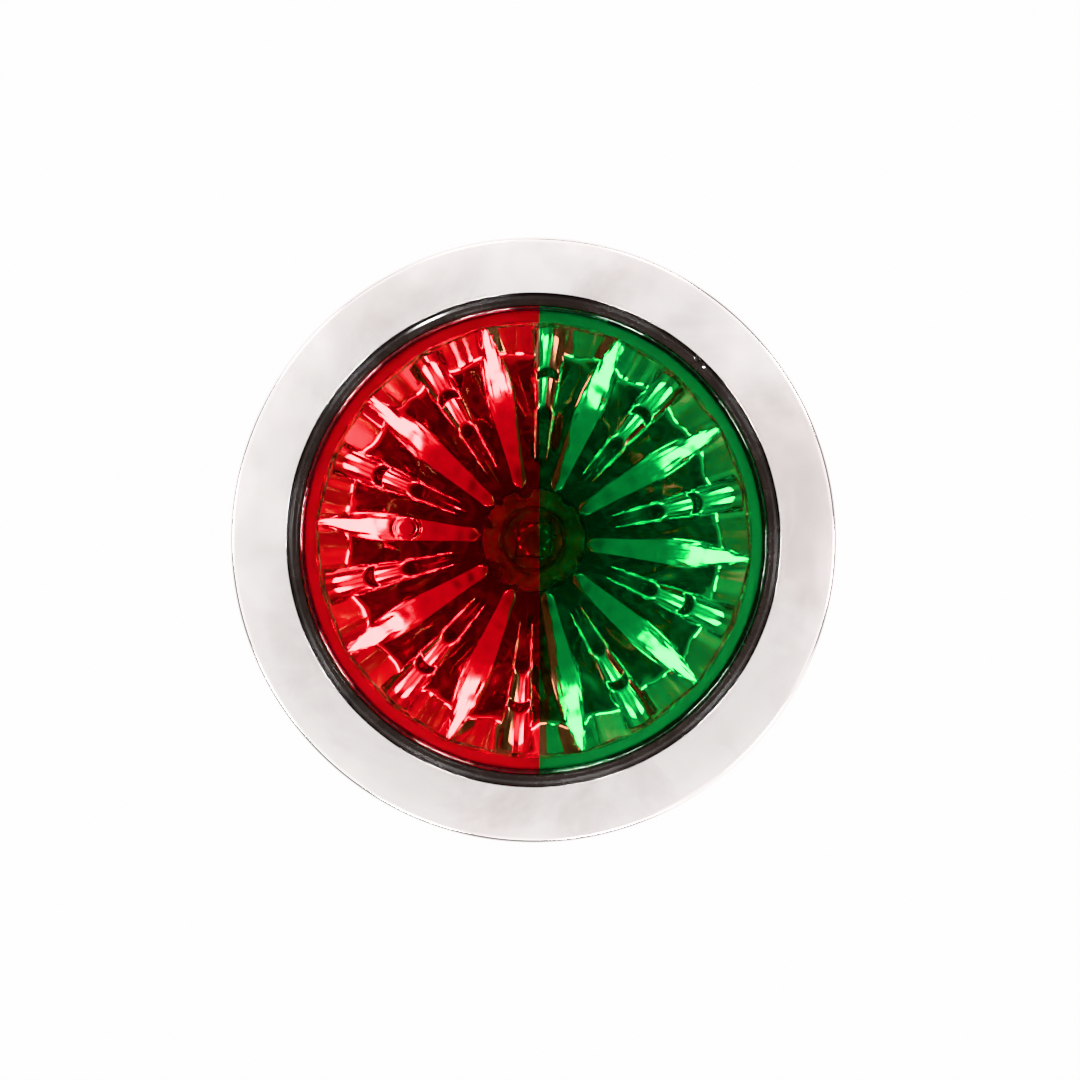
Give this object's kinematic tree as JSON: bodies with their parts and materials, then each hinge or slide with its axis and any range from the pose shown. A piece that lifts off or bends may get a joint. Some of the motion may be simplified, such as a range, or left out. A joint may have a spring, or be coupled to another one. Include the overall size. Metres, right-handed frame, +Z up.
{
  "type": "navigation light",
  "caption": "Flush-mounted two-colour bow light: stainless bezel, red and green lens halves over a fluted mirror, threaded barrel with washer and ring nut behind the panel.",
  "frame": {"origin": "centre of the mounting hole, on the front face of the panel, where the gasket rests", "axes": "-Y along the optical axis, out of the lens; +Z up; the red half lies at -X and the green half at +X"},
  "size_m": [0.0826, 0.0452, 0.0826],
  "materials": {
    "stainless": "polished, with faint cloudy patches",
    "screw_steel": "satin",
    "red_lens": "smooth gloss, tinted red",
    "green_lens": "smooth gloss, tinted green",
    "clear_silicone": "clear gloss",
    "mirror_coat": "vacuum-coated mirror",
    "seal_rubber": "semi-gloss moulded",
    "black_nylon": "fine moulded texture",
    "led_phosphor": "matt",
    "copper": "satin copper",
    "board_lacquer": "white solder lacquer",
    "component_black": "moulded epoxy",
    "component_ceramic": "glazed ceramic",
    "thermal_silicone": "matt",
    "aluminium": "satin",
    "plated_brass": "bright plated",
    "red_insulation": "satin sleeve",
    "black_insulation": "satin sleeve",
    "inlet_silicone": "matt"
  },
  "bodies": {
    "light": {"bezel": "stainless", "bezel_gasket": "seal_rubber", "lens_seal": "seal_rubber", "lens_red": "red_lens", "lens_green": "green_lens", "reflector": "mirror_coat", "led_carrier": "copper", "led_emitter": "led_phosphor", "led_dome": "clear_silicone", "led_shroud": "black_nylon", "circuit_board": "board_lacquer", "board_screw_1": "screw_steel", "board_screw_2": "screw_steel", "board_screw_3": "screw_steel", "driver_chip": "component_black", "polarity_diode": "component_black", "inductor": "component_black", "resistor_1": "component_ceramic", "resistor_2": "component_ceramic", "capacitor": "aluminium", "thermal_pad": "thermal_silicone", "heat_spreader": "aluminium", "wire_positive": "red_insulation", "wire_negative": "black_insulation", "housing": "black_nylon", "rear_cover": "black_nylon", "rear_cover_seal": "seal_rubber", "cover_screw_1": "screw_steel", "cover_screw_2": "screw_steel", "cover_screw_3": "screw_steel", "cover_screw_4": "screw_steel", "inlet_pin_positive": "plated_brass", "inlet_pin_negative": "plated_brass", "inlet_seal": "inlet_silicone"},
    "washer": {"clamp_washer": "screw_steel"},
    "nut": {"clamp_nut": "black_nylon"}
  },
  "joints": [
    {"name": "washer_slide", "type": "slide", "parent": "light", "child": "washer", "axis": [0, 1, 0], "range_m": [-0.005, 0.01]},
    {"name": "nut_spin", "type": "hinge", "parent": "washer", "child": "nut", "pos_m": [0, 0.012, 0], "axis": [0, 1, 0], "range_deg": [-450, 900]}
  ],
  "couplings": [
    {"joint": "washer_slide", "follows": "nut_spin", "m_per_rad": 0.00063662}
  ]
}
